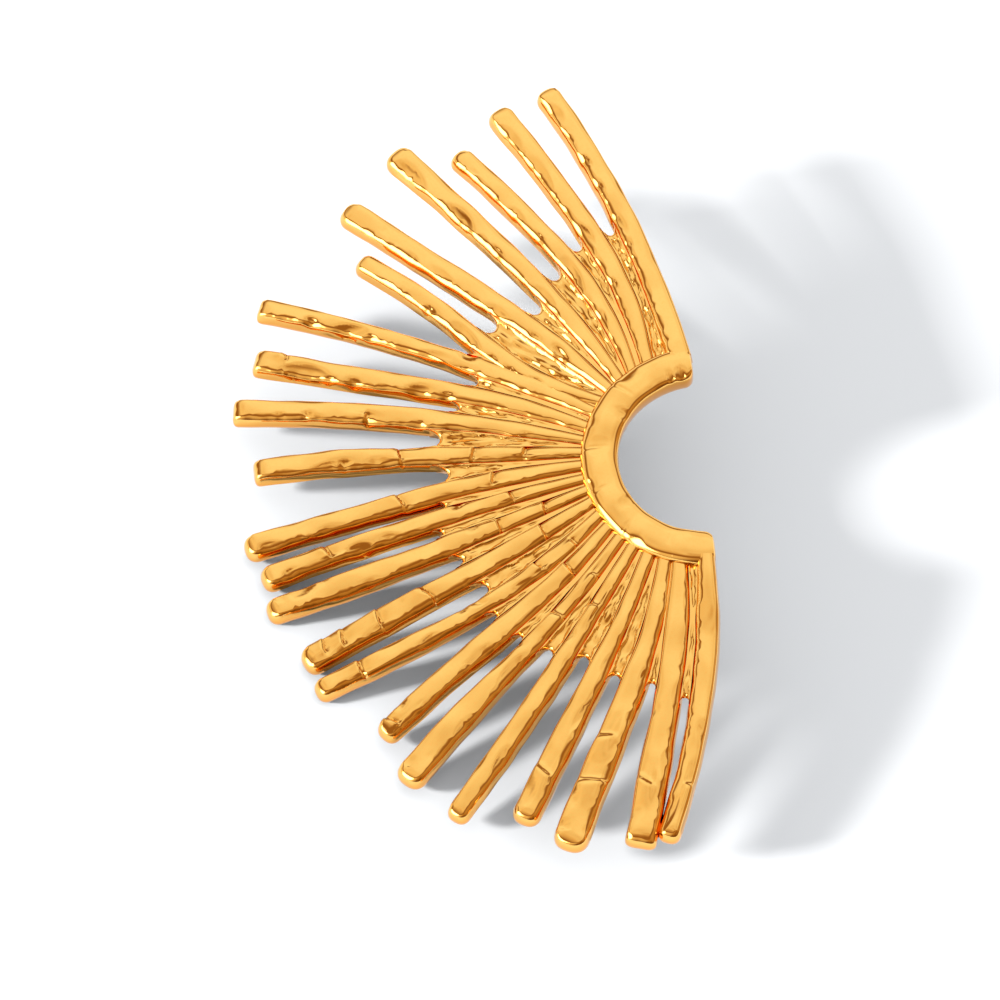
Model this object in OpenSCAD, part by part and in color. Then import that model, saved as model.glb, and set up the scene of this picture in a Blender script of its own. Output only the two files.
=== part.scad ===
// Fan earring: a cast metal plate of 22 bars that spread from a C-shaped collar, with an ear post
// soldered to its back. It is shown lying as it does when put down: on the post's end and two tips.
// Millimetres, +Z up. The origin is the middle of the bounding box on the surface that it lies on.

/* [Rays] */
// thickness of a ray, from the flat back to its polished top
ray_thick = 1.5; // [1.2:0.1:1.8]
// width and height of the bevel along a ray's top edges
bevel = 0.25; // [0.15:0.05:0.35]
// how much of a ray's length its rounded tip takes
tip_part = 0.03; // [0.02:0.01:0.06]
// stretches that a ray's curve is divided into
ray_steps = 9; // [6:1:14]

/* [Web] */
// thickness of the recessed sheet that joins the rays near the collar
web_thick = 0.95; // [0.7:0.05:1.1]

/* [Collar] */
// radius of the notch inside the collar
notch_r = 6; // [5.5:0.1:6.5]
// outer radius of the collar at its foot
collar_r = 8.7; // [8.4:0.1:9.2]
// thickness of the collar at its crown
collar_thick = 2; // [1.8:0.1:2.4]
// direction of the lower arm's end round the collar, in degrees
arm_low = -84; // [-95:1:-75]
// direction of the upper arm's end round the collar, in degrees
arm_high = 97; // [90:1:105]

/* [Ear post] */
// radius of the post
post_r = 0.45; // [0.4:0.05:0.5]
// length of the post, from the plate's back to its end
post_len = 9.5; // [9:0.5:11]
// radius of the foot that is soldered to the collar's back
foot_r = 1.2; // [1:0.1:1.4]
// thickness of the foot
foot_thick = 0.5; // [0.3:0.1:0.8]
// direction of the post round the collar, in degrees
post_deg = 152; // [115:1:160]
// distance of the post from the collar's centre
post_dist = 7.5; // [7.2:0.1:7.6]

/* [Lying] */
// lean of the plate when it lies on the post's end and two tips, in degrees
lean = 19.07; // [0:0.01:30]
// direction round which the plate leans, in degrees
lean_dir = -58.72; // [-180:0.01:180]
// where the collar's centre then is, from the origin
centre_at = [15.48, -0.57, 10.38]; // [-40:0.01:40]

/* [Hidden] */
// rays in their order round the collar, from the lower arm to the upper one, measured from its centre
ROOT = 0;    // direction in which the ray leaves the collar, degrees
TIP_X = 1;   // place of the tip
TIP_Y = 2;
BOW = 3;     // sideways bend, to the left looking outward
SWAY = 4;    // double bend on top of it
W_ROOT = 5;  // width of the flat top at the collar, half way and near the tip
W_MID = 6;
W_TIP = 7;
OPEN = 8;    // distance from the collar's centre at which the gap after this ray opens
rays = [
    [271, -2.4, -29.0, 0.9, 0.0, 1.1, 1.5, 1.3, 18.7],
    [258, -4.2, -29.4, 0.5, 0.1, 0.9, 1.5, 1.7, 17.9],
    [251, -9.1, -29.6, 0.7, 0.2, 0.8, 1.6, 2.0, 18.1],
    [243, -12.1, -27.7, 0.3, 0.1, 0.8, 1.3, 1.5, 17.7],
    [235, -16.7, -27.5, 0.3, 0.0, 0.7, 1.2, 1.2, 18.5],
    [227, -20.1, -24.8, 0.3, 0.2, 0.7, 1.1, 1.8, 18.9],
    [219, -21.7, -21.4, 0.3, 0.2, 0.7, 1.4, 1.3, 19.0],
    [211, -26.4, -18.1, 1.3, 0.2, 0.7, 1.1, 1.2, 18.4],
    [204, -27.3, -16.0, 0.2, 0.1, 0.7, 1.4, 1.6, 18.8],
    [198, -30.0, -12.1, 0.2, 0.0, 0.6, 1.4, 1.3, 19.3],
    [192, -30.5, -9.6, -0.4, 0.0, 0.6, 1.2, 1.4, 18.6],
    [185, -31.8, -7.2, -0.6, -0.1, 0.7, 1.3, 1.5, 18.3],
    [178, -31.5, -1.1, -0.4, 0.1, 0.6, 1.2, 1.4, 19.0],
    [172, -33.2, 3.7, -0.7, 0.0, 0.6, 1.3, 1.4, 17.9],
    [165, -31.9, 7.8, -0.6, -0.2, 0.7, 1.3, 1.5, 17.3],
    [156, -31.8, 12.1, -0.8, 0.0, 0.7, 1.1, 1.3, 18.3],
    [148, -24.8, 16.0, 0.8, 0.5, 0.7, 1.3, 1.2, 18.6],
    [142, -26.0, 20.3, -0.5, -0.1, 0.7, 1.5, 1.5, 17.0],
    [136, -22.7, 25.1, -0.8, -0.1, 0.7, 1.4, 1.7, 18.3],
    [129, -18.1, 25.0, -1.5, -0.2, 0.7, 1.3, 1.3, 19.4],
    [120, -15.3, 28.7, -1.6, -0.2, 0.8, 1.4, 1.6, 19.6],
    [103, -11.8, 30.4, -0.9, 0.0, 1.1, 1.5, 1.5, 19.0]
];
// how far even and odd rays stand in from the plate's two faces, so that neighbours step a little
ray_inset = [0.03, 0.08];
// how far the web's back stands in
web_inset = 0.15;
// radius inside the collar at which the rays start
root_r = 7.9;
// radius inside the collar at which the web starts
web_r = 7.2;
last = len(rays) - 1;
gold = [0.95, 0.72, 0.33];

// which piece to show

function polar(r, a) = [r * cos(a), r * sin(a)];
function root(ray) = polar(root_r, ray[ROOT]);
function tip(ray) = [ray[TIP_X], ray[TIP_Y]];
function unit(v) = v / norm(v);
function left_of(v) = [-v[1], v[0]];

// point on a ray's middle line: the straight line from root to tip, bent sideways
function on_ray(ray, t) =
    let (chord = tip(ray) - root(ray))
    root(ray) + t * chord
        + left_of(unit(chord)) * (4 * ray[BOW] * t * (1 - t) + ray[SWAY] * sin(360 * t));

// direction of the middle line there
function ahead(ray, t) = unit(on_ray(ray, t + 0.01) - on_ray(ray, t - 0.01));

// width of the flat top: from root to middle over the first half, then on to the tip
function top_width(ray, t) =
    t < 0.5
        ? ray[W_ROOT] + (ray[W_MID] - ray[W_ROOT]) * 2 * t
        : ray[W_MID] + (ray[W_TIP] - ray[W_MID]) * (2 * t - 1);

// outline of a ray's cross-section: [sideways, up], with the flat top and its two bevels
function section(width, back, top) =
    let (half = width / 2, foot = width / 2 + bevel)
    [[-foot, back], [foot, back], [foot, top - bevel], [half, top], [-half, top], [-foot, top - bevel]];

// that outline, standing across the ray at t
function ring(ray, t, width, back, top) =
    let (mid = on_ray(ray, t), side = left_of(ahead(ray, t)))
    [for (p = section(width, back, top)) [mid[0] - side[0] * p[0], mid[1] - side[1] * p[0], p[1]]];

// rings along a ray as far as its tip
function bar_rings(ray, back, top) = [
    for (i = [0:ray_steps])
        let (t = (1 - tip_part) * i / ray_steps)
        ring(ray, t, top_width(ray, t), back, top)
];

// rings that round its tip off
function tip_rings(ray, back, top) = [
    ring(ray, 1 - tip_part, top_width(ray, 1 - tip_part), back, top),
    ring(ray, 1 - tip_part / 3, ray[W_TIP] * 0.8, back, top),
    ring(ray, 1, ray[W_TIP] * 0.3, back, top - bevel)
];

// closed solid through a list of rings of equal length
module loft(rings) {
    n = len(rings[0]);
    m = len(rings);
    points = [for (r = rings, p = r) p];
    sides = [
        for (k = [0:m - 2], j = [0:n - 1])
            let (a = k * n + j, b = k * n + (j + 1) % n)
            each [[a, b, b + n], [a, b + n, a + n]]
    ];
    start = [for (j = [n - 1:-1:0]) j];
    end = [for (j = [0:n - 1]) (m - 1) * n + j];
    polyhedron(points, concat([start], sides, [end]));
}

// share of a ray's length at a distance from the collar's centre
function share(ray, r) = (r - root_r) / norm(tip(ray) - root(ray));

// bottom of the gap between a ray and the next: half way between the two
function gap_end(i) =
    (on_ray(rays[i], share(rays[i], rays[i][OPEN])) + on_ray(rays[i + 1], share(rays[i + 1], rays[i][OPEN]))) / 2;

// where the web's edge crosses a ray, a little past the gaps on its two sides
function crossing(i) = on_ray(rays[i], share(rays[i], (rays[i][OPEN] + rays[max(i - 1, 0)][OPEN]) / 2 + 0.5));

module web() {
    edge = concat(
        [for (i = [0:last]) each i < last ? [crossing(i), gap_end(i)] : [crossing(i)]],
        [for (a = [rays[last][ROOT]:5:rays[0][ROOT]]) polar(web_r, a)]
    );
    translate([0, 0, web_inset])
        linear_extrude(web_thick - web_inset)
            polygon(edge);
}

// collar in the round: a crowned band with a bevel to the notch and a step down to the rays
module collar() {
    band = [
        [notch_r, 0],
        [collar_r, 0],
        [collar_r, collar_thick - 0.75],
        [collar_r - 0.35, collar_thick - 0.25],
        [collar_r - 0.85, collar_thick - 0.05],
        [collar_r - 1.45, collar_thick],
        [notch_r + 0.7, collar_thick - 0.1],
        [notch_r + 0.3, collar_thick - 0.4],
        [notch_r, collar_thick - 0.85]
    ];
    rotate([0, 0, arm_high])
        rotate_extrude(angle = 360 + arm_low - arm_high, $fn = 96)
            polygon(band);
}

// the casting, flat on its back with the collar's centre at the middle
module casting() {
    union() {
        collar();
        web();
        for (i = [0:last]) {
            inset = ray_inset[i % 2];
            loft(bar_rings(rays[i], inset, ray_thick - inset));
            hull()
                loft(tip_rings(rays[i], inset, ray_thick - inset));
        }
    }
}

// post and soldered foot, hanging from the plate's back
module post() {
    translate(concat(polar(post_dist, post_deg), [0])) {
        translate([0, 0, -foot_thick])
            cylinder(r = foot_r, h = foot_thick, $fn = 48);
        translate([0, 0, -post_len])
            cylinder(r = post_r, h = post_len - foot_thick, $fn = 48);
    }
}

// turns the plate over to how it lies
module lying() {
    translate(centre_at)
        rotate(a = lean, v = [cos(lean_dir), sin(lean_dir), 0])
            children();
}

module fan() {
    color(gold)
        lying()
            casting();
}

module ear_post() {
    color(gold)
        lying()
            post();
}

fan();
ear_post();
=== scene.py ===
import math
import bmesh
import bpy
import numpy as np
from mathutils import Matrix, Vector


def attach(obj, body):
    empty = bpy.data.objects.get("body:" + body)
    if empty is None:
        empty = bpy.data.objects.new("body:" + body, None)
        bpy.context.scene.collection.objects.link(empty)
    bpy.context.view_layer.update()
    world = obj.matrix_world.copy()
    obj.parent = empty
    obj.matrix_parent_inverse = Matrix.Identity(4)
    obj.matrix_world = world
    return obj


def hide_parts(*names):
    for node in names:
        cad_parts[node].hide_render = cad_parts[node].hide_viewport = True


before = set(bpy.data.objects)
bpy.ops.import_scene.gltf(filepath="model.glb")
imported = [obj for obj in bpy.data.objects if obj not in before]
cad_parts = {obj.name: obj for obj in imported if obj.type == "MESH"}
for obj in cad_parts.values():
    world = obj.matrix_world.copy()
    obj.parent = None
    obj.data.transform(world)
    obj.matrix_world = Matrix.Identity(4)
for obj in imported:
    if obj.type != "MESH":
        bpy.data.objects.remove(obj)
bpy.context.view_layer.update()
mm = 0.001

# the casting is drawn flat in millimetres round the collar's centre, then laid down like the CAD
plate = {
    "lean": 19.07,  # degrees
    "leanDir": -58.72,  # direction of the axis that it leans about
    "centre": (15.48, -0.57, 10.38),  # where the collar's centre then is
}
leanDir = math.radians(plate["leanDir"])
leanAxis = Vector((math.cos(leanDir), math.sin(leanDir), 0))
turn = np.array(Matrix.Rotation(math.radians(plate["lean"]), 3, leanAxis))


def toWorld(points):
    # turned by the lean, moved to the collar's place, then from millimetres to metres
    return (np.asarray(points, float) @ turn.T + plate["centre"]) * mm


def smoothStep(x):
    # zero up to 0, one from 1 on, and three squares less two cubes between
    x = np.clip(x, 0, 1)
    return x * x * (3 - 2 * x)


def quarterRound(x):
    # 0 at 0 and 1 at 1, along a quarter of a circle: one less the root of one less the square
    return 1 - np.sqrt(np.clip(1 - x ** 2, 0, 1))


def eased(x, knots, values):
    # from knot to knot along a smooth step, so that no knot shows as a kink
    knots, values = np.asarray(knots, float), np.asarray(values, float)
    x = np.clip(x, knots[0], knots[-1])
    i = np.clip(np.searchsorted(knots, x, side="right") - 1, 0, len(knots) - 2)
    f = smoothStep((x - knots[i]) / (knots[i + 1] - knots[i]))
    return values[i] + (values[i + 1] - values[i]) * f


def ripple(s, waves, size, seed):
    # a sum of sines with random phases: the slow unevenness of a hand-finished edge
    draw = np.random.default_rng(seed)
    total = np.zeros_like(np.asarray(s, float))
    for wave in waves:
        phase = 2 * np.pi * s / (wave * draw.uniform(0.8, 1.25)) + draw.uniform(0, 6.28)
        total += np.sin(phase) * draw.uniform(0.5, 1)
    return total * size / len(waves)


def cusps(s, wave, seed):
    # 1 less 1.6 times |sine|, never below 0, along an uneven scale, each cusp with its own random height:
    # sharp peaks with level stretches between
    draw = np.random.default_rng(seed)
    s = np.asarray(s, float) + ripple(s, (wave * 1.7, wave * 3.1), wave * 0.9, seed + 1)
    k = np.floor(s / wave + 0.5).astype(int)
    size = draw.uniform(0.15, 1, k.max() - k.min() + 1)[k - k.min()]
    return size * np.clip(1 - 1.6 * np.abs(np.sin(np.pi * s / wave)), 0, 1)


def gridFaces(nU, nV):
    # quads between neighbouring rows and columns of an nU x nV array of points
    i, j = np.meshgrid(np.arange(nU - 1), np.arange(nV - 1), indexing="ij")
    a = (i * nV + j).ravel()
    return np.stack([a, a + 1, a + nV + 1, a + nV], 1)


def makeBody(name, parts, caps=()):
    # one object from arrays of points (each its own grid); shared borders are welded
    verts = np.concatenate([p.reshape(-1, 3) for p in parts])
    faces, start = [], 0
    for p in parts:
        faces += (gridFaces(p.shape[0], p.shape[1]) + start).tolist()
        start += p.shape[0] * p.shape[1]
    faces += [list(c) for c in caps]
    mesh = bpy.data.meshes.new(name)
    mesh.from_pydata(verts.tolist(), [], faces)
    bm = bmesh.new()
    bm.from_mesh(mesh)
    bmesh.ops.remove_doubles(bm, verts=bm.verts, dist=0.0005)
    bmesh.ops.dissolve_degenerate(bm, edges=bm.edges, dist=0.0004)
    bmesh.ops.recalc_face_normals(bm, faces=bm.faces)
    bm.to_mesh(mesh)
    bm.free()
    obj = bpy.data.objects.new(name, mesh)
    bpy.context.scene.collection.objects.link(obj)
    return obj


# the rays from the lower arm round to the upper one: direction at the collar in degrees, tip, sideways bend,
# double bend, width of the flat top at five places, and how far from the centre the gap after it opens
rayColumns = ("root", "tipX", "tipY", "bow", "sway", "wRoot", "wInner", "wMid", "wOuter", "wTip", "opens")
rayTable = (
    (271, -2.4, -29.0, 1.0, 0.0, 0.92, 1.35, 1.25, 1.10, 1.15, 18.7),
    (258, -4.2, -29.4, 0.5, 0.1, 0.90, 1.45, 1.50, 1.80, 1.70, 17.9),
    (251, -9.1, -29.6, 0.7, 0.2, 0.85, 1.15, 1.55, 1.85, 2.00, 18.1),
    (243, -12.1, -27.7, 0.3, 0.1, 0.80, 0.95, 1.30, 1.50, 1.55, 17.7),
    (235, -16.7, -27.5, 0.3, 0.0, 0.70, 0.90, 1.20, 1.25, 1.15, 18.5),
    (227, -20.1, -24.8, 0.3, 0.2, 0.70, 0.90, 1.10, 1.60, 1.75, 18.9),
    (219, -21.7, -21.4, 0.3, 0.2, 0.72, 1.15, 1.45, 1.35, 1.30, 19.0),
    (211, -26.4, -18.1, 1.3, 0.2, 0.72, 1.10, 0.95, 1.25, 1.20, 18.4),
    (204, -27.3, -16.0, 0.2, 0.1, 0.72, 1.20, 1.40, 1.60, 1.60, 18.8),
    (198, -30.0, -12.1, 0.2, 0.0, 0.62, 0.98, 1.35, 1.50, 1.35, 19.3),
    (192, -30.5, -9.6, -0.4, 0.0, 0.58, 0.90, 1.25, 1.25, 1.40, 18.6),
    (185, -31.8, -7.2, -0.6, -0.1, 0.68, 1.15, 1.30, 1.30, 1.50, 18.3),
    (178, -31.5, -1.1, -0.4, 0.1, 0.60, 1.00, 1.20, 1.45, 1.40, 19.0),
    (172, -33.2, 3.7, -0.7, 0.0, 0.52, 0.98, 1.40, 1.36, 1.40, 17.9),
    (165, -31.9, 7.8, -0.6, -0.2, 0.68, 1.15, 1.30, 1.35, 1.55, 17.3),
    (156, -31.8, 12.1, -0.8, 0.0, 0.68, 1.25, 1.10, 1.10, 1.32, 18.3),
    (148, -24.8, 16.0, 0.8, 0.5, 0.60, 1.05, 1.30, 1.25, 1.20, 18.6),
    (142, -26.0, 20.3, -0.5, -0.1, 0.68, 1.25, 1.50, 1.50, 1.60, 17.0),
    (136, -22.7, 25.1, -0.8, -0.1, 0.70, 1.15, 1.35, 1.50, 1.75, 18.3),
    (129, -18.1, 25.0, -1.5, -0.2, 0.70, 1.10, 1.25, 1.30, 1.32, 19.4),
    (120, -15.3, 28.7, -1.4, -0.2, 0.80, 1.25, 1.40, 1.42, 1.58, 19.6),
    (103, -11.8, 30.4, -1.0, 0.0, 1.40, 1.45, 1.45, 1.40, 1.45, 19.0),
)
rays = [dict(zip(rayColumns, row)) for row in rayTable]
bar = {
    "top": 1.5,  # height of the flat tops over the back
    "bevel": 0.25,
    "rootR": 7.9,  # inside the collar
    "spacing": 0.25,  # between sections along a ray
    "nearFold": (-0.28, -0.18, -0.09, 0, 0.09, 0.18, 0.28),  # more sections, this far from each fold
    "closest": 0.025,  # two sections never stand nearer to each other than this
    "squareTips": (2, 13, 14, 15, 16),  # the other tips are rounder
    "square": (0.62, 3.6),  # a square tip's length in half widths, and how square it is
    "round": (0.95, 2.5),
    "roughFrom": 13,  # number of the first of the rougher rays
    "softTo": 6,  # number of the last ray whose folds are soft
    "crown": 0.03,  # how far a top's middle stands over its sides
    "rollOff": 0.035,  # how far its very edges drop below that
    "twist": 0.11,  # slow lean from side to side
    "swell": 0.05,  # slow rise and fall along the bar
    "droop": (0.26, 1.05),  # how steeply a tip falls off, and over what length
    "rise": (0.44, 6.2, 5.2),  # of the outer two at the collar: how high, until where, over what length
}
for number, ray in enumerate(rays, 1):
    direction = math.radians(ray["root"])
    ray["number"] = number
    ray["rough"] = number >= bar["roughFrom"]
    ray["rootPoint"] = bar["rootR"] * np.array([math.cos(direction), math.sin(direction)])
    ray["tipPoint"] = np.array([ray["tipX"], ray["tipY"]])
    ray["length"] = float(np.linalg.norm(ray["tipPoint"] - ray["rootPoint"]))


def onRay(ray, t):
    # straight from root to tip, pushed left by a parabola (bow) and one sine (sway)
    t = np.asarray(t, float)
    chord = ray["tipPoint"] - ray["rootPoint"]
    left = np.array([-chord[1], chord[0]]) / ray["length"]
    bend = 4 * ray["bow"] * t * (1 - t) + ray["sway"] * np.sin(2 * np.pi * t)
    return ray["rootPoint"] + t[..., None] * chord + bend[..., None] * left


def leftOf(ray, t):
    # unit vector to the left of the middle line: its slope over a short step, turned a quarter
    d = onRay(ray, np.asarray(t) + 0.004) - onRay(ray, np.asarray(t) - 0.004)
    d /= np.linalg.norm(d, axis=-1, keepdims=True)
    return np.stack([-d[..., 1], d[..., 0]], -1)


def footHalf(ray, t, side):
    # half the width at the foot: half the flat top, plus the bevel, plus that edge's own unevenness
    widths = [ray[k] for k in ("wRoot", "wInner", "wMid", "wOuter", "wTip")]
    w = eased(t, (0, 0.25, 0.5, 0.75, 1), widths) / 2 + bar["bevel"]
    calm = smoothStep(t / 0.3)
    return w + calm * ripple(t * ray["length"], (3.1, 5.3, 8.7), 0.05, ray["number"] * 7 + (side > 0))


# what the photo shows on each top: (kind, share of the length, place across from -1 to 1); a negative place
# lies towards the edge that faces down
marks = {
    1: (("scoop", 0.93, -0.8), ("cross", 0.80, 0.4), ("scoop", 0.62, 0.9)),
    2: (("cross", 0.80, 0.9), ("scoop", 0.72, -0.9), ("scoop", 0.48, -0.9), ("chip", 0.55, 0.9),
        ("scoop", 0.9, 0.9)),
    3: (("chip", 0.94, 0.7), ("scoop", 0.84, 0.9), ("cross", 0.77, 0.8), ("cross", 0.62, 0.8),
        ("chip", 0.40, -0.9)),
    4: (("scoop", 0.92, 0.8), ("cross", 0.83, 0.9), ("scoop", 0.60, -0.9), ("scoop", 0.42, -0.8)),
    5: (("cross", 0.24, 0.9), ("dimple", 0.93, 0.2), ("scoop", 0.80, -0.9), ("scoop", 0.45, -0.9),
        ("chip", 0.36, 0.8)),
    6: (("cross", 0.17, -0.9), ("cross", 0.33, 0.8), ("chip", 0.95, 0.6), ("dimple", 0.90, -0.3),
        ("scoop", 0.78, -0.9), ("scoop", 0.55, -0.8), ("chip", 0.47, 0.9)),
    7: (("cross", 0.22, 0.9), ("cross", 0.94, 0.7), ("chip", 0.89, 0.9), ("dimple", 0.85, -0.4),
        ("scoop", 0.64, -0.9), ("chip", 0.5, -0.9)),
    8: (("cross", 0.14, -0.9), ("cross", 0.26, 0.9), ("cross", 0.86, 0.8), ("scoop", 0.66, -0.9),
        ("chip", 0.52, 0.9), ("chip", 0.47, 0.7), ("scoop", 0.33, -0.9)),
    9: (("cross", 0.2, 0.8), ("cross", 0.93, 0.9), ("cross", 0.87, 0.9), ("cross", 0.75, 0.9),
        ("chip", 0.67, 0.8), ("cross", 0.58, 0.9), ("chip", 0.47, -0.7)),
    10: (("cross", 0.16, 0.9), ("cross", 0.3, -0.9), ("chip", 0.95, 0.7), ("scoop", 0.88, 0.8),
         ("chip", 0.82, 0.9), ("scoop", 0.7, -0.9), ("chip", 0.37, 0.8)),
    11: (("cross", 0.24, 0.9), ("chip", 0.92, -0.5), ("cross", 0.79, 0.8), ("scoop", 0.71, -0.9),
         ("scoop", 0.61, -0.8), ("chip", 0.4, 0.9)),
    12: (("cross", 0.28, 0.8), ("scoop", 0.93, -0.9), ("scoop", 0.74, -0.9), ("dimple", 0.63, 0.8),
         ("cross", 0.54, 0.9), ("scoop", 0.4, -0.9)),
    13: (("dimple", 0.95, -0.3), ("dimple", 0.85, 0.5), ("chip", 0.73, -0.6), ("scoop", 0.79, -0.9),
         ("scoop", 0.62, -0.9), ("cross", 0.56, 0.9), ("cross", 0.35, 0.8), ("cross", 0.2, 0.8)),
    14: (("chip", 0.87, -0.7), ("chip", 0.79, -0.7), ("cross", 0.63, -0.6), ("dimple", 0.93, 0.6),
         ("chip", 0.48, -0.8)),
    15: (("cross", 0.90, 0.3), ("scoop", 0.84, -0.7), ("chip", 0.70, -0.8), ("scoop", 0.52, -0.9),
         ("chip", 0.44, -0.8)),
    16: (("chip", 0.84, -0.7), ("scoop", 0.74, -0.9), ("chip", 0.67, -0.8), ("scoop", 0.5, -0.9),
         ("chip", 0.4, 0.8)),
    17: (("dimple", 0.80, 0.3), ("chip", 0.68, -0.8), ("scoop", 0.52, -0.9), ("chip", 0.4, -0.8),
         ("chip", 0.25, -0.6)),
    18: (("dimple", 0.85, 0.1), ("dimple", 0.80, -0.3), ("chip", 0.73, -0.7), ("scoop", 0.62, -0.8),
         ("chip", 0.52, -0.8), ("scoop", 0.42, -0.9), ("chip", 0.3, -0.7), ("chip", 0.2, -0.5)),
    19: (("scoop", 0.90, -0.8), ("scoop", 0.70, -0.9), ("chip", 0.60, -0.8), ("chip", 0.55, -0.8),
         ("scoop", 0.35, -0.9)),
    20: (("dimple", 0.90, -0.5), ("scoop", 0.68, -0.9), ("chip", 0.58, -0.8), ("scoop", 0.4, -0.9),
         ("chip", 0.22, -0.7)),
    21: (("scoop", 0.88, -0.8), ("scoop", 0.72, -0.9), ("scoop", 0.5, -0.9), ("chip", 0.3, -0.8)),
    22: (("scoop", 0.9, -0.8), ("chip", 0.72, -0.8), ("chip", 0.62, -0.9), ("scoop", 0.5, -0.9),
         ("chip", 0.4, -0.8)),
}
shapes = {  # each mark but a cross is a shallow hollow: (radius of its ball in mm, half width, stretch along)
    "scoop": (1.5, 0.55, 1.9),
    "chip": (0.42, 0.27, 1.5),
    "dimple": (0.45, 0.13, 1.6),
}
fold = {  # at each cross: a step that dies away on both sides of a groove, in mm
    "step": 0.15,  # its height
    "width": 0.1,  # over which it rises
    "dies": 0.6,  # over which it dies away
    "groove": 0.1,  # its depth
    "grooveWidth": 0.12,
    "bow": 0.12,  # how much the fold curves
    "soft": 2.4,  # how much wider the soft ones are
}


def lowerSide(ray):
    # which edge faces down in the photo: +1 is the left edge, looking out along the ray
    return 1.0 if math.cos(math.radians(ray["root"])) < 0 else -1.0


def hollows(ray):
    # rows of (along, across, half width, ball radius, stretch), each size varied at random
    draw = np.random.default_rng(ray["number"] * 31)
    strong = 1.3 if ray["rough"] else 1.0
    rows = []
    for kind, share, place in marks[ray["number"]]:
        if kind == "cross":
            continue
        radius, reach, stretch = shapes[kind]
        w = float(footHalf(ray, share, 1.0)) - bar["bevel"]
        out = 1.1 if kind == "scoop" else 1.0
        rows.append((share * ray["length"], -place * w * lowerSide(ray) * out,
                     strong * reach * draw.uniform(0.8, 1.25), strong * radius * draw.uniform(0.8, 1.25),
                     stretch * draw.uniform(0.7, 1.3)))
    for s in np.arange(2.2, ray["length"] - 0.8, 2.4):  # and small ones all along the lower edge
        w = float(footHalf(ray, s / ray["length"], 1.0)) - bar["bevel"]
        rows.append((s + draw.uniform(-0.6, 0.6), lowerSide(ray) * w * draw.uniform(0.95, 1.15),
                     strong * draw.uniform(0.1, 0.3), draw.uniform(0.35, 0.9), draw.uniform(1.2, 3.2)))
    return np.array(rows)


def crossings(ray):
    # rows of (along, edge that the fold starts from, how far it reaches, bow, softness)
    draw = np.random.default_rng(ray["number"] * 17)
    soft = fold["soft"] if ray["number"] <= bar["softTo"] else 1.0
    rows = []
    for kind, share, place in marks[ray["number"]]:
        if kind == "cross":
            rows.append((share * ray["length"], -lowerSide(ray) * np.sign(place),
                         abs(place) * draw.uniform(1.3, 2.2), draw.uniform(-0.2, 0.2), soft))
    return np.array(rows).reshape(-1, 5)


def topSurface(ray, s, across):
    # height over the nominal top: a crown that rolls off towards both edges, a slow twist and swell along the
    # bar, the hollows (the lower of the top and each ball), a groove between a lip and a dip at each fold, a
    # droop at the tip, and a rise into the collar on the outer two
    k = ray["number"]
    w = footHalf(ray, np.clip(s / ray["length"], 0, 1), 1.0) - bar["bevel"]
    u = across / w
    crown = bar["crown"] - bar["crown"] * u ** 2 - bar["rollOff"] * np.clip(np.abs(u), 0, 1.1) ** 10
    calm = smoothStep(s / 4)
    twist = ripple(s, (5.0, 8.5, 13.0), bar["twist"], k * 3) * calm
    swell = ripple(s, (3.6, 6.0, 9.0), bar["swell"], k * 3 + 1) * calm
    side = ripple(s + across, (2.6, 4.1), 0.008, k * 3 + 2) * calm
    z = crown + twist * across + swell + side
    base = z.copy()
    for s0, u0, reach, radius, stretch in hollows(ray):
        slant = 0.7 * math.sin(9 * s0)  # no two lie the same way
        aside = across - u0
        far = ((s - s0) / stretch + slant * aside) ** 2 + aside ** 2
        z = np.minimum(z, base + (far - reach ** 2) / (2 * radius))
    for s0, edge, reach, bow, soft in crossings(ray):
        x = s - s0 - bow * across + fold["bow"] * (across + edge * w) ** 2 * np.sign(bow)
        fade = smoothStep((reach - (1 - edge * u)) / 0.5 + 0.5) * smoothStep(2.2 - np.abs(x))
        dies = np.exp(-np.abs(x) / (fold["dies"] * soft))
        step = fold["step"] * np.tanh(x / (fold["width"] * soft)) * dies
        groove = fold["groove"] / soft ** 2 * np.exp(-(x / fold["grooveWidth"]) ** 2)
        z = z + fade * (step - groove)
    steep, last = bar["droop"]
    droop = -steep * np.clip(s - ray["length"] + last, 0, 2) ** 2
    high, until, length = bar["rise"]
    rise = high * smoothStep((until - s) / length) if k in (1, len(rays)) else 0
    return z + droop + rise


cut = {  # the bevel along the top edges, in mm; a pair is (on the upper edge, how much more on the lower one)
    "width": (0.11, 0.12),
    "depth": (0.2, 0.14),
    "peaks": (0.5, 0.7),  # how much wider it is at a cusp, on the smoother and on the rougher rays
    "nicks": (0.1, 0.14),  # how far facets across it stand out, on the same two
}
# a bar's profile: (inset in bevel widths, inset in mm, share of the way to the middle, height); a height is a
# share of the bevel's depth, or the name of a level or of the top
barProfile = (
    (0, 0, 1, "back"), (0, 0.3, 0, "back"), (0, 0.2, 0, "foot"), (0, 0.01, 0, "waist"), (0, 0.04, 0, "chest"),
    (0, 0.12, 0, 0.0), (0.12, 0.13, 0, 0.3), (0.44, 0.13, 0, 0.6), (0.78, 0.13, 0, 0.81),
    (1.2, 0.13, 0, 0.97), (1.3, 0.14, 0, "top"), (1.35, 0.17, 0, "top"), (1.35, 0.17, 0.33, "top"),
    (1.35, 0.17, 0.66, "top"), (0, 0, 1, "top"))


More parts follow.
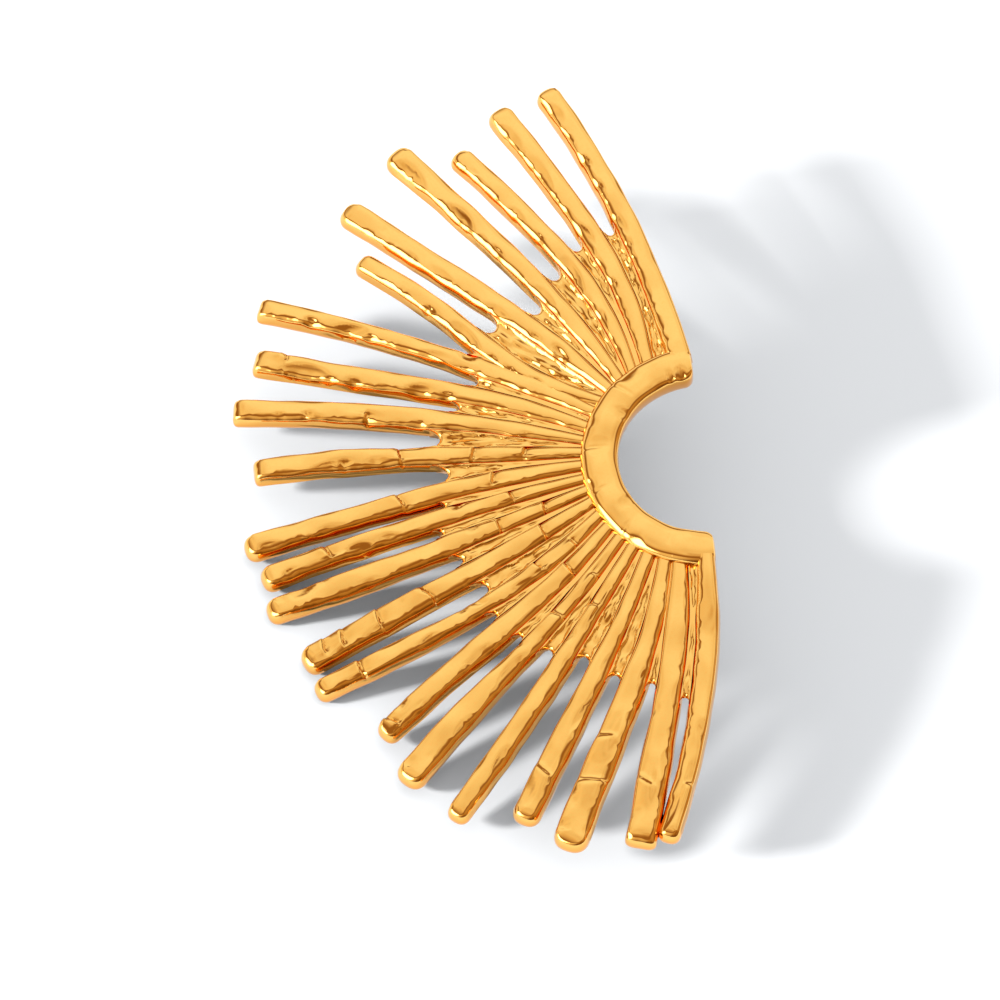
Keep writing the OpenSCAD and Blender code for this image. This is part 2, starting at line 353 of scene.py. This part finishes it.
def makeRay(ray):
    # a profile (back, wall, bevel, half of the top) carried along the outline: out along the left edge, round
    # the tip and back along the right edge; the two halves meet on the middle line
    length, number, rough = ray["length"], ray["number"], ray["rough"]
    back = 0.03 + 0.05 * (number % 2)
    tipShare, power = bar["square" if number in bar["squareTips"] else "round"]
    reach = footHalf(ray, 1.0, 1) * tipShare
    folds = crossings(ray)[:, 0]
    extra = (folds[:, None] + np.array(bar["nearFold"])).ravel()
    fine = [np.arange(0, length - reach, bar["spacing"]), [length - reach], extra]
    s = np.unique(np.round(np.clip(np.concatenate(fine), 0, length - reach), 2))
    s = s[np.concatenate([[True], np.diff(s) > bar["closest"]])]
    t = s / length
    mid, left = onRay(ray, t), leftOf(ray, t)
    halves = []
    for side in (1, -1):
        w = footHalf(ray, t, side)
        edge = mid + left * (side * w)[:, None]
        order = slice(None) if side == 1 else slice(None, None, -1)
        halves.append([a[order] for a in (edge, mid, w, s, np.full(len(s), side, float))])
    # the tip: an arc of a rounded rectangle about the last point of the middle line
    angle = np.linspace(90, -90, 21)[1:-1]
    c, q = np.cos(np.radians(angle)), np.sin(np.radians(angle))
    radius = (np.abs(c) ** power + np.abs(q) ** power) ** (-1 / power)
    ahead = np.array([left[-1][1], -left[-1][0]])
    w = footHalf(ray, t[-1:], 1)[0] * (0.5 + q / 2) + footHalf(ray, t[-1:], -1)[0] * (0.5 - q / 2)
    offset = (c * radius * reach)[:, None] * ahead + (q * radius * w)[:, None] * left[-1]
    tip = [mid[-1] + offset, np.repeat(mid[-1:], len(angle), 0), np.linalg.norm(offset, axis=1),
           s[-1] + c * radius * reach, q * radius * w / np.linalg.norm(offset, axis=1)]
    edge, partner, w, where, lean = [np.concatenate([halves[0][i], tip[i], halves[1][i]]) for i in range(5)]
    # low is 1 on the edge that faces down and 0 on the other; the tip is bevelled like the lower edge
    low = 0.5 + 0.5 * np.clip(lean * lowerSide(ray) * 2, -1, 1)
    low = np.maximum(low, smoothStep((where - s[-1]) / reach * 2))
    peaks = cusps(where, 4.3, number * 13) + 0.4 * cusps(where, 1.9, number * 15)
    fade = low ** 2 * smoothStep((s[-1] - where) / 0.8)
    least, more = cut["width"]
    waver = ripple(where, (2.9, 5.3, 8.3), 0.11, number * 5) * (0.2 + low)
    b = least + more * low + waver + cut["peaks"][rough] * peaks * fade
    b = np.minimum(b, 0.4 * w)
    least, more = cut["depth"]
    slow = ripple(where, (2.7, 5.0), 0.05, number * 9)
    quick = ripple(where, (1.1, 1.9, 2.8), 0.09, number * 11) * low
    drop = least + more * low + slow + quick
    nick = cut["nicks"][rough] * cusps(where, 2.2, number * 19) * low

    def heightAt(q):
        # the top's height where a profile point lies: q is its share of the way from outline to middle
        along = where + (np.minimum(where, s[-1]) - where) * q
        return bar["top"] + topSurface(ray, along, lean * w * (1 - q))

    rim = heightAt(np.clip((1.3 * b + 0.14) / w, 0, 1))
    level = {"back": back, "foot": back + 0.1, "waist": 0.55, "chest": 0.9}
    rows = []
    for bevels, inset, share, height in barProfile:
        q = np.clip((bevels * b + inset) / w, 0, 1)
        q = q + (1 - q) * share
        xy = edge + (partner - edge) * q[:, None]
        if height == "top":
            z = heightAt(q)
        elif isinstance(height, float):
            z = rim - drop * (1 - height) + nick * (1 - abs(2 * height - 1))
        else:
            z = np.full_like(w, level[height])
        rows.append(np.column_stack([xy, z]))
    grid = np.stack(rows, 1)
    n, m = grid.shape[:2]
    cap = list(range(m)) + [(n - 1) * m + j for j in range(m - 1, -1, -1)]
    return makeBody("ray%02d" % number, [grid], [cap])


web = {
    "back": 0.16,
    "top": 1.2,
    "fillet": 0.14,
    "startR": 7.4,
    "inset": 0.12,  # how far it reaches into the walls beside it
    "spacing": 0.18,  # between sections along it
    "endZone": 0.6,  # sections stand closer over this last stretch
    "across": (0, 0.03, 0.08, 0.15, 0.23, 0.32, 0.41, 0.5, 0.59, 0.68, 0.77, 0.85, 0.92, 0.97, 1),
    "hollowEnd": (0.9, 1.5),  # depth of the gap's round end: share of its width, and the most
    "lipDrop": 0.3,  # how far the end's edge is rounded down
    "undercut": 0.45,  # how far the end wall leans back underneath
    "lumps": (3.4, 0.8),  # their length and width, drawn out along the gap
    "granular": {1: (0.7, 0.4), 21: (0.9, 0.45)},  # the same for the two gaps that are grainy instead
    "lumpHeight": (0.014, 0.031),  # in the lower gaps, and how much more in the upper ones
    "beadHeight": 0.13,
    "foldHeight": 0.06,
    "fill": (0.16, 1.2),  # how much shallower it gets where it is narrower than this
}


def wallPoint(ray, t, side, inset):
    # the middle line plus half the width to one side, less the inset
    return onRay(ray, t) + leftOf(ray, t) * (side * (footHalf(ray, t, side) - inset))[:, None]


def lumpy(x, y, long, broad, seed):
    # half the sum of seven sines whose directions and lengths vary about the given lump size
    draw = np.random.default_rng(seed)
    total = np.zeros_like(x)
    for _ in range(7):
        waves = x * draw.uniform(-1.3, 1.3) / long + y * draw.uniform(0.6, 1.3) / broad
        total += np.sin(2 * np.pi * waves + draw.uniform(0, 6.28))
    return total / 2


def makeWeb(i):
    # trough between two neighbours: across from wall to wall with a fillet up each, along from the collar to
    # where the gap opens, its end hollowed to a round
    one, two = rays[i], rays[i + 1]
    inset, f = web["inset"], web["fillet"]
    span = one["opens"] - bar["rootR"]
    ends = [wallPoint(ray, np.array([span / ray["length"]]), side, inset)[0]
            for ray, side in ((one, -1), (two, 1))]
    share, most = web["hollowEnd"]
    deep = min(share * float(np.linalg.norm(ends[0] - ends[1])), most)
    tight = span - web["endZone"]
    along = np.concatenate([np.arange(web["startR"] - bar["rootR"], tight, web["spacing"]),
                            tight + np.array([0, 0.15, 0.3, 0.4, 0.48, 0.54, 0.58, 0.6])])
    across = np.array(web["across"])
    reach = along[:, None] + 0 * across
    # over the last 2.5 mm the web runs on along both walls and stays back in the middle
    push = deep * quarterRound(2 * across - 1)
    reach = reach + smoothStep((along[:, None] - span + 2.5) / 2.5) * (push - 0.35 * deep)
    a = wallPoint(one, (reach / one["length"]).ravel(), -1, inset).reshape(*reach.shape, 2)
    b = wallPoint(two, (reach / two["length"]).ravel(), 1, inset).reshape(*reach.shape, 2)
    chord = b - a
    # where the walls cross near the collar the trough shrinks to a sliver inside them
    towards = onRay(two, reach / two["length"]) - onRay(one, reach / one["length"])
    towards /= np.linalg.norm(towards, axis=-1, keepdims=True)
    wide = np.maximum((chord * towards).sum(-1), inset)
    middle = (a + b) / 2
    a, b = middle - towards * (wide / 2)[..., None], middle + towards * (wide / 2)[..., None]
    xy = a + (b - a) * across[None, :, None]
    wobble = [ripple(along, (1.1, 1.9, 3.4), 0.16, 400 + 2 * i + j)[:, None] for j in (0, 1)]
    # near is the distance from the nearer wall, give or take a little
    near = np.minimum(across * wide + wobble[0], (1 - across) * wide + wobble[1]) - inset
    rise = f * quarterRound(1 - np.clip(near, 0, f) / f)
    long, broad = web["granular"].get(i + 1, web["lumps"])
    lumps = lumpy(reach, across * wide, long, broad, 200 + i)
    # three beads left by the casting, each a bell drawn out along the gap
    beads = 0 * reach
    draw = np.random.default_rng(500 + i)
    for s, u in zip(draw.uniform(span * 0.4, span - 0.3, 3), draw.uniform(0.25, 0.75, 3)):
        apart = ((reach - s) / draw.uniform(1, 1.8)) ** 2 + ((across - u) * wide) ** 2
        beads = beads + np.exp(-apart / draw.uniform(0.21, 0.29) ** 2)
    folds = ripple(reach.ravel(), (1.4, 2.3, 3.9), web["foldHeight"], 300 + i).reshape(reach.shape)
    toEnd = span - along
    inner = np.clip(near / 0.25, 0, 1)  # no relief where the fillet meets the wall
    least, more = web["lumpHeight"]
    relief = (least + more * smoothStep((i - 10) / 4)) * lumps + web["beadHeight"] * beads + folds
    relief = relief * inner * smoothStep(toEnd / 0.9)[:, None]
    lip = web["lipDrop"] * quarterRound(np.clip(1 - toEnd / web["lipDrop"], 0, 1))
    fill, narrow = web["fill"]
    top = web["top"] + fill * smoothStep(narrow - wide) + rise + relief - lip[:, None]
    top = np.minimum(top, bar["top"] - 0.12)
    upper = np.concatenate([xy, top[..., None]], 2)
    outward = xy[-1].mean(0) - xy[0].mean(0)
    outward *= web["undercut"] / np.linalg.norm(outward)
    below = xy - outward * smoothStep(1 - toEnd / 0.9)[:, None, None]
    lower = np.concatenate([below, 0 * top[..., None]], 2)
    lower[..., 2] = web["back"] + 0.004 * (i % 3)  # neighbours a little apart, so that no two backs lie flush
    border, under = [np.concatenate([g[0], g[1:, -1], g[-1, -2::-1], g[-2::-1, 0]]) for g in (upper, lower)]
    start = upper.shape[0] * upper.shape[1] + len(border)
    cap = range(start, start + len(border) - 1)
    return makeBody("web%02d" % (i + 1), [upper, np.stack([border, under])], [cap])


collar = {
    "low": 97.0,  # degrees, from one arm's end to the other's
    "high": 276.0,
    "middle": (7.35, 1.0),  # radius and height of the middle of the band
    "rounding": 0.75,  # at both ends
    "endRings": (0.0, 0.02, 0.06, 0.12, 0.2, 0.3, 0.42, 0.56, 0.72),  # how far they stand from an end
    "rings": 180,  # between the rounded ends
    "profile": (  # (radius, height), from the back's inner edge over the crown to the outer foot
        (6.45, 0.0), (6.26, 0.1), (6.12, 0.35), (6.03, 0.75), (6.0, 1.3), (6.01, 1.58), (6.05, 1.71),
        (6.12, 1.82), (6.22, 1.9), (6.4, 1.955), (6.8, 1.99), (7.25, 2.0), (7.6, 2.0), (7.9, 1.98),
        (8.14, 1.94), (8.32, 1.88), (8.46, 1.78), (8.56, 1.63), (8.62, 1.45), (8.68, 1.2), (8.7, 0.7),
        (8.7, 0.06), (8.64, 0.0), (7.35, 0.0)),
    "hollows": (  # (place round the arc in degrees, radius there, half length, ball radius)
        (105, 6.35, 0.5, 0.7), (112, 6.3, 0.35, 0.5), (131, 8.35, 0.75, 2.4), (152, 6.35, 0.6, 1.8),
        (163, 8.45, 0.45, 1.2), (176, 7.6, 0.8, 5.0), (198, 8.5, 0.5, 1.4), (216, 6.4, 0.6, 1.9),
        (236, 8.45, 0.6, 1.7), (251, 7.1, 0.3, 1.0)),
    "folds": (  # (place in degrees, radius there, how far it reaches to each side)
        (140, 8.3, 1.4), (178, 8.4, 1.5), (203, 8.4, 1.2), (228, 8.4, 1.0)),
}


def makeCollar():
    # the band's profile carried round the arc; radius and height waver a little, and towards both ends it
    # shrinks to its middle along a quarter of a circle
    p = np.array(collar["profile"])
    low, high = math.radians(collar["low"]), math.radians(collar["high"])
    centre = np.array(collar["middle"])
    r0 = collar["middle"][0]
    inset = np.array(collar["endRings"])
    shrink = collar["rounding"] * quarterRound(1 - inset / collar["rounding"])
    body = np.linspace(low + 0.85 / r0, high - 0.85 / r0, collar["rings"])
    a = np.concatenate([low + inset / r0, body, (high - inset / r0)[::-1]])
    k = np.concatenate([shrink, np.zeros(len(body)), shrink[::-1]])
    s = a * r0
    crown = ripple(s, (3.3, 6.1, 9.5), 0.09, 61)
    inner = ripple(s, (2.6, 5.2), 0.07, 62)
    outer = ripple(s, (2.1, 4.4), 0.06, 63)
    big = p[None].repeat(len(a), 0)
    top = smoothStep((p[:, 1] - 1.3) / 0.5)[None]
    nearInner = smoothStep(1 - np.abs(p[:, 0] - 6.4) / 0.5)[None]
    nearOuter = smoothStep(1 - np.abs(p[:, 0] - 8.3) / 0.5)[None]
    big[..., 1] += top * crown[:, None]
    big[..., 0] += top * (nearInner * inner[:, None] + nearOuter * outer[:, None])
    arc, r = s[:, None], p[None, :, 0]
    z = big[..., 1].copy()
    for degrees, r1, reach, ball in collar["hollows"]:
        hollow = ((arc - math.radians(degrees) * r0) ** 2 + (r - r1) ** 2 - reach ** 2) / (2 * ball)
        big[..., 1] = np.minimum(big[..., 1], z + np.minimum(hollow, 0) * top)
    for degrees, r1, reach in collar["folds"]:
        x = arc - math.radians(degrees) * r0 - 0.2 * (r - r1)
        fade = smoothStep((reach - np.abs(r - r1)) / 0.5) * top
        step = 0.02 * np.tanh(x / 0.06) * np.exp(-np.abs(x) / 0.25)
        big[..., 1] += fade * (step - 0.06 * np.exp(-(x / 0.08) ** 2))
    size = np.stack([k / 1.35, np.clip(k - 0.35, 0, 1)], 1)
    big = centre + (big - centre) * (1 - size[:, None])
    big[..., 1] = np.maximum(big[..., 1], 0)
    xyz = np.stack([big[..., 0] * np.cos(a)[:, None], big[..., 0] * np.sin(a)[:, None], big[..., 1]], 2)
    xyz = np.concatenate([xyz, xyz[:, :1]], 1)
    n, m = xyz.shape[:2]
    caps = [list(range(m - 1)), [(n - 1) * m + j for j in range(m - 1)][::-1]]
    return makeBody("collar", [xyz], caps)


def fuse(name, first, others):
    # union of all bodies into one closed casting
    for o in others:
        m = first.modifiers.new(o.name, "BOOLEAN")
        m.operation = "UNION"
        m.solver = "MANIFOLD"
        m.object = o
    bpy.context.view_layer.update()
    dg = bpy.context.evaluated_depsgraph_get()
    mesh = bpy.data.meshes.new_from_object(first.evaluated_get(dg))
    for o in [first] + others:
        bpy.data.objects.remove(o)
    obj = bpy.data.objects.new(name, mesh)
    mesh.name = name
    bpy.context.scene.collection.objects.link(obj)
    return obj


def readPoints(mesh):
    # the mesh's points as rows of x, y and z
    co = np.empty(len(mesh.vertices) * 3, np.float32)
    mesh.vertices.foreach_get("co", co)
    return co.reshape(-1, 3).astype(float)


def layDown(obj):
    # every point taken from the flat drawing to where the earring lies
    mesh = obj.data
    mesh.vertices.foreach_set("co", toWorld(readPoints(mesh)).astype(np.float32).ravel())
    mesh.update()


def shadeSmooth(obj, angle):
    # smooth, with edges sharper than the angle kept crisp
    mesh = obj.data
    bm = bmesh.new()
    bm.from_mesh(mesh)
    for e in bm.edges:
        e.smooth = len(e.link_faces) == 2 and e.calc_face_angle(3.2) < math.radians(angle)
    for f in bm.faces:
        f.smooth = True
    bm.to_mesh(mesh)
    bm.free()


# gold_post: drawn wire with a small disc soldered to the collar's back
post = {
    "angle": 152,  # degrees round the collar
    "distance": 7.5,  # from the collar's centre
    "foot": (  # (radius, depth below the collar's back)
        (0.0, -0.05), (1.14, -0.05), (1.2, 0.0), (1.2, 0.36), (1.17, 0.45), (1.08, 0.5), (0.78, 0.53),
        (0.62, 0.6), (0.52, 0.72), (0.465, 0.9)),
    "wireR": 0.45,
    "wire": (1.15, 9.3, 60),  # where its straight part starts and ends, and how many rings it has
    "end": ((0.43, 9.4), (0.37, 9.47), (0.3, 9.5), (0.0, 9.5)),
}


def makePost():
    # the profile of foot, wire and end turned about the wire's axis; the many rings keep its faces short
    foot, end = np.array(post["foot"]), np.array(post["end"])
    straight = np.linspace(*post["wire"])
    d = np.concatenate([foot[:, 1], straight, end[:, 1]])
    r = np.concatenate([foot[:, 0], np.full(len(straight), post["wireR"]), end[:, 0]])
    a = np.linspace(0, 2 * np.pi, 49)
    place = math.radians(post["angle"])
    x = post["distance"] * math.cos(place) + r[:, None] * np.cos(a)
    y = post["distance"] * math.sin(place) + r[:, None] * np.sin(a)
    return makeBody("ear_post_wire", [np.stack([x, y, np.repeat(-d[:, None], len(a), 1)], 2)])


def linear(hexColour):
    # sRGB hex to the linear values that shader sockets take
    c = np.array([int(hexColour[i:i + 2], 16) for i in (1, 3, 5)]) / 255
    return tuple(np.where(c <= 0.04045, c / 12.92, ((c + 0.055) / 1.055) ** 2.4)) + (1.0,)


def newMaterial(name):
    # a material whose node tree is still empty
    m = bpy.data.materials.new(name)
    m.use_nodes = True
    m.node_tree.nodes.clear()
    return m


def addNode(tree, kind, settings=None, links=None, **values):
    # one node: settings are its properties, values its sockets' constants, links what feeds each socket
    n = tree.nodes.new("ShaderNode" + kind)
    for k, v in (settings or {}).items():
        setattr(n, k, v)
    for k, v in values.items():
        n.inputs[k.replace("_", " ")].default_value = v
    for k, v in (links or {}).items():
        tree.links.new(v, n.inputs[k])
    return n


def mixed(tree, a, b, factor):
    # colour a where the factor is 0, b where it is 1; each may be a constant or a socket
    n = addNode(tree, "Mix", {"data_type": "RGBA"})
    for socket, v in ((n.inputs[6], a), (n.inputs[7], b), (n.inputs[0], factor)):
        if isinstance(v, bpy.types.NodeSocket):
            tree.links.new(v, socket)
        else:
            socket.default_value = v
    return n.outputs[2]


def ramp(tree, value, low, high, toLow=0.0, toHigh=1.0):
    # low to high spread evenly over toLow to toHigh, and level beyond
    limits = {"From_Min": low, "From_Max": high, "To_Min": toLow, "To_Max": toHigh}
    return addNode(tree, "MapRange", links={"Value": value}, **limits).outputs["Result"]


def barCoordinates(obj):
    # each point gets its nearest ray's own coordinates in millimetres: along it, across it, and ten times the
    # ray's place in the row, so that lines in a material run along the bars
    p = readPoints(obj.data)
    t = np.linspace(0, 1, 49)
    lines = np.stack([onRay(ray, t) for ray in rays])
    sides = np.stack([leftOf(ray, t) for ray in rays])
    lengths = np.array([ray["length"] for ray in rays])
    out = np.empty((len(p), 3))
    batch = 8000  # points at a time, to save memory
    for i in range(0, len(p), batch):
        q = p[i:i + batch, :2]
        d = ((q[:, None, None] - lines[None]) ** 2).sum(-1).reshape(len(q), -1)
        near, k = np.divmod(d.argmin(1), len(t))
        gap = q - lines[near, k]
        side = sides[near, k]
        across = (gap * side).sum(1)
        along = t[k] * lengths[near] + gap[:, 0] * side[:, 1] - gap[:, 1] * side[:, 0]
        out[i:i + batch] = np.column_stack([along, across, near * 10.0])
    layer = obj.data.attributes.new("bar", "FLOAT_VECTOR", "POINT")
    layer.data.foreach_set("vector", out.astype(np.float32).ravel())


def goldMaterial(name, colour, deep, wallReflection, rough, waves, skin, lines):
    # gold plate over a brass casting. waves is the slow unevenness that hand polishing leaves, so reflections
    # wander a little; skin the finer grain of the cast surface; lines the wheel's strokes along each bar;
    # the wall colour is painted reflection, a deeper orange on sides that stand square to the plate, in place
    # of the warm reflections of the gold round them.
    # The scales of waves and skin are counts to the metre, those of lines counts to the millimetre
    m = newMaterial(name)
    t = m.node_tree
    where = addNode(t, "TexCoord").outputs["Object"]
    bars = addNode(t, "Attribute", {"attribute_name": "bar"}).outputs["Vector"]
    stretch = (lines["long"], lines["fine"], 1.0)
    strokes = addNode(t, "Mapping", links={"Vector": bars}, Scale=stretch).outputs["Vector"]
    slow = addNode(t, "TexNoise", links={"Vector": where}, Scale=waves["scale"], Detail=2.0, Roughness=0.5)
    fine = addNode(t, "TexNoise", links={"Vector": where}, Scale=skin["scale"], Detail=4.0, Roughness=0.6)
    line = addNode(t, "TexNoise", links={"Vector": strokes}, Scale=1.0, Detail=3.0, Roughness=0.6)
    tone = mixed(t, linear(colour), linear(deep), ramp(t, fine.outputs["Fac"], 0.45, 0.75, 0.0, skin["tone"]))
    # painted reflection: sides that stand square to the plate get the deeper wall colour, in place of the
    # warm reflections of the gold round them
    outward = addNode(t, "NewGeometry").outputs["Normal"]
    facing = addNode(t, "VectorMath", {"operation": "DOT_PRODUCT"}, {0: outward})
    facing.inputs[1].default_value = Vector(turn @ (0, 0, 1))
    tone = mixed(t, linear(wallReflection), tone, ramp(t, facing.outputs["Value"], 0.05, 0.4))
    normal = None
    for height, depth in ((slow, waves["height"]), (line, lines["height"]), (fine, skin["height"])):
        links = {"Height": height.outputs["Fac"]}
        if normal:
            links["Normal"] = normal
        normal = addNode(t, "Bump", links=links, Strength=1.0, Distance=depth).outputs["Normal"]
    dull = ramp(t, line.outputs["Fac"], 0.35, 0.65, *rough)
    links = {"Base Color": tone, "Normal": normal, "Roughness": dull}
    shader = addNode(t, "BsdfPrincipled", links=links, Metallic=1.0)
    addNode(t, "OutputMaterial", links={"Surface": shader.outputs["BSDF"]})
    return m


# in each of the three, the third colour is painted reflection, taken by the sides that stand square to the
# plate
# mirror polish: waves of 3 mm, grain of 0.2 mm and only faint strokes, 3 mm long and 0.14 mm wide, which is
# coarser than real ones so that they show
polished = goldMaterial("polished_gold", "#F6C26A", "#FBB255", "#F3A548", (0.025, 0.05),
                        {"scale": 330, "height": 0.000006},
                        {"scale": 5200, "height": 0.0000003, "tone": 0.3},
                        {"long": 0.35, "fine": 7.0, "height": 0.0000012})
# the sunk web keeps its cast skin: waves of 1.7 mm, grain of 0.24 mm, and lines 2 mm long and 0.25 mm wide
castSkin = goldMaterial("cast_gold", "#F6BC64", "#E09A40", "#EE9B42", (0.05, 0.1),
                        {"scale": 600, "height": 0.00001},
                        {"scale": 4200, "height": 0.000002, "tone": 0.4},
                        {"long": 0.5, "fine": 4.0, "height": 0.000004})
# the post is drawn wire: waves of 2.5 mm and grain of 0.28 mm, a little duller and without strokes
drawn = goldMaterial("drawn_gold", "#F6C26A", "#F3A44A", "#F3A44A", (0.1, 0.2),
                     {"scale": 400, "height": 0.000003},
                     {"scale": 3600, "height": 0.000001, "tone": 0.3},
                     {"long": 1.0, "fine": 1.0, "height": 0.0})

rayObjects = [makeRay(ray) for ray in rays]
webObjects = [makeWeb(i) for i in range(len(rays) - 1)]
collarObject = makeCollar()
for o in rayObjects + [collarObject]:
    o.data.materials.append(polished)
for o in webObjects:
    o.data.materials.append(castSkin)
fan = fuse("fan_casting", collarObject, rayObjects + webObjects)
barCoordinates(fan)
layDown(fan)
shadeSmooth(fan, 32)
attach(fan, "root")
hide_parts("fan")
print("fan", len(fan.data.polygons), [m.name for m in fan.data.materials])

wire = makePost()
wire.data.materials.append(drawn)
layDown(wire)
shadeSmooth(wire, 40)
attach(wire, "root")
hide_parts("ear_post")
print("post", len(wire.data.polygons))

# a plain pale floor, 3 m square: matt painted board, which takes soft shadows and shows no mirror image
half = 1.5
floorMesh = bpy.data.meshes.new("floor")
corners = [(-half, -half, 0), (half, -half, 0), (half, half, 0), (-half, half, 0)]
floorMesh.from_pydata(corners, [], [(0, 1, 2, 3)])
floor = bpy.data.objects.new("floor", floorMesh)
bpy.context.scene.collection.objects.link(floor)
floorPaint = newMaterial("floor_paint")
shader = addNode(floorPaint.node_tree, "BsdfPrincipled", Base_Color=linear("#F4F5F6"), Roughness=0.7)
addNode(floorPaint.node_tree, "OutputMaterial", links={"Surface": shader.outputs["BSDF"]})
floorMesh.materials.append(floorPaint)
print("floor", 2 * half)

# the photo's view
view = {
    "tilt": 28,  # degrees from square on to the plate
    "before": (-14.45, -1.05, 1.5),  # the place on the plate that the camera stands before, in mm
    "away": 0.330,  # metres from there
    "aside": 0.0176,
    "lower": 0.00088,
    "aim": (0.0026, -0.0006, 0.003),  # what it looks at
    "lens": 171,
}
tilt = math.radians(view["tilt"])
right = Vector(turn @ (1, 0, 0))
up = Vector(turn @ (0, math.cos(tilt), math.sin(tilt)))
back = Vector(turn @ (0, -math.sin(tilt), math.cos(tilt)))
target = Vector(toWorld([view["before"]])[0])
camData = bpy.data.cameras.new("camera")
camera = bpy.data.objects.new("camera", camData)
bpy.context.scene.collection.objects.link(camera)
bpy.context.scene.camera = camera
camera.location = target + back * view["away"] + right * view["aside"] - up * view["lower"]
camData.sensor_width = 36
camData.lens = view["lens"]
look = Vector(view["aim"]) - camera.location
side = look.cross(up).normalized()
over = side.cross(look).normalized()
camera.rotation_mode = "QUATERNION"
camera.rotation_quaternion = Matrix((side, over, -look.normalized())).transposed().to_quaternion()
camData.clip_start, camData.clip_end = 0.01, 10
print("camera", [round(c, 4) for c in camera.location])

# one studio lamp from the left; the metal mirrors the room's own lamp instead of this one
key = {
    "toward": (-0.84, -0.36, 0.40),  # where it stands from the middle
    "distance": 1.6,
    "side": 0.2,  # of its square
    "radiance": 290.0,
}
keyData = bpy.data.lights.new("key_left", "AREA")
keyData.shape = "RECTANGLE"
keyData.size = keyData.size_y = key["side"]
keyData.energy = key["radiance"] * math.pi * key["side"] * key["side"]
keyLamp = bpy.data.objects.new("key_left", keyData)
bpy.context.scene.collection.objects.link(keyLamp)
keyLamp.visible_glossy = False
keyWay = Vector(key["toward"]).normalized()
keyLamp.location = keyWay * key["distance"]
keyLamp.rotation_mode = "QUATERNION"
keyLamp.rotation_quaternion = keyWay.to_track_quat("Z", "Y")
print("lamp", round(keyData.energy, 2))

# the room that the metal mirrors: a white ceiling over and behind the earring, and a warm dim camera side.
# The floor is lit by a plain dome of one pale colour instead
room = {
    "toward": (-0.2, 0.8, 0.57),  # the ceiling's middle
    "bands": (  # (how far towards the ceiling's middle, colour)
        (0.24, (0.20, 0.09, 0.022)), (0.38, (0.43, 0.23, 0.07)),
        (0.60, (0.60, 0.36, 0.14)), (0.70, (0.70, 0.49, 0.27)),
        (0.76, (0.93, 0.81, 0.66)), (0.84, (1.03, 0.96, 0.85)),
        (0.93, (1.09, 1.06, 1.01)), (1.0, (1.17, 1.21, 1.23))),
    "patches": (2.6, 0.1),  # scale of the soft patches that shift the bands, and by how much
    # the lamp that the metal mirrors and the glow round it: (direction, outer angle, inner angle, colour)
    "glow": ((-0.84, -0.36, 0.35), 55, 15, (1.08, 0.93, 0.70)),
    "lamp": ((-0.87, -0.40, 0.35), 24, 15, (5.5, 5.5, 6.0)),
    "ring": (-0.258, 0.312, 0.914),  # round the place that the flat tops mirror
    "ringAngles": ((54, 48), (38, 27)),  # outer and inner edge, each fading between two angles
    "ringColour": (0.35, 0.18, 0.06),
    "dome": (0.84, 0.855, 0.875),  # what lights the floor
}
world = bpy.data.worlds.new("studio")
world.use_nodes = True
sky = world.node_tree
toward = addNode(sky, "TexCoord").outputs["Generated"]


def nearness(direction):
    # cosine of the angle between where a ray goes and the given direction
    n = addNode(sky, "VectorMath", {"operation": "DOT_PRODUCT"}, {0: toward})
    n.inputs[1].default_value = Vector(direction).normalized()
    return n.outputs["Value"]


def cone(direction, outer, inner):
    # 1 within the inner angle of a direction, 0 beyond the outer one
    return ramp(sky, nearness(direction), math.cos(math.radians(outer)), math.cos(math.radians(inner)))


def lit(below, patch):
    # the patch's colour inside its cone, and what is below it outside
    direction, outer, inner, colour = patch
    return mixed(sky, below, colour + (1,), cone(direction, outer, inner))


scale, most = room["patches"]
patches = addNode(sky, "TexNoise", links={"Vector": toward}, Scale=scale, Detail=1.0).outputs["Fac"]
shift = ramp(sky, patches, 0.3, 0.7, -most, most)
height = ramp(sky, nearness(room["toward"]), -1.0, 1.0)
place = addNode(sky, "Math", {"operation": "ADD"}, {0: height, 1: shift})
bands = addNode(sky, "ValToRGB", links={"Fac": place.outputs["Value"]})
stops = bands.color_ramp.elements
for at, _ in room["bands"][:-2]:  # a new ramp already has two stops
    stops.new(at)
for stop, (at, colour) in zip(stops, room["bands"]):
    stop.position = at
    stop.color = colour + (1,)
mirrored = lit(bands.outputs["Color"], room["glow"])
ringOut, ringIn = [cone(room["ring"], *angles) for angles in room["ringAngles"]]
ring = addNode(sky, "Math", {"operation": "SUBTRACT"}, {0: ringOut, 1: ringIn}).outputs["Value"]
mirrored = mixed(sky, mirrored, room["ringColour"] + (1,), ring)
mirrored = lit(mirrored, room["lamp"])
# only mirror rays see the room, and only before a matt bounce: what the floor sees in the gold stays neutral
path = addNode(sky, "LightPath")
glossy = addNode(sky, "Math", {"operation": "SUBTRACT", "use_clamp": True},
                 {0: path.outputs["Is Glossy Ray"], 1: path.outputs["Diffuse Depth"]}).outputs["Value"]
dome = room["dome"] + (1,)
sky.links.new(mixed(sky, dome, mirrored, glossy), sky.nodes["Background"].inputs["Color"])
bpy.context.scene.world = world
bpy.context.scene.view_settings.view_transform = "Standard"
bpy.context.scene.cycles.caustics_reflective = False  # keeps the gold from tinting the floor
print("room", len(sky.nodes), "nodes")
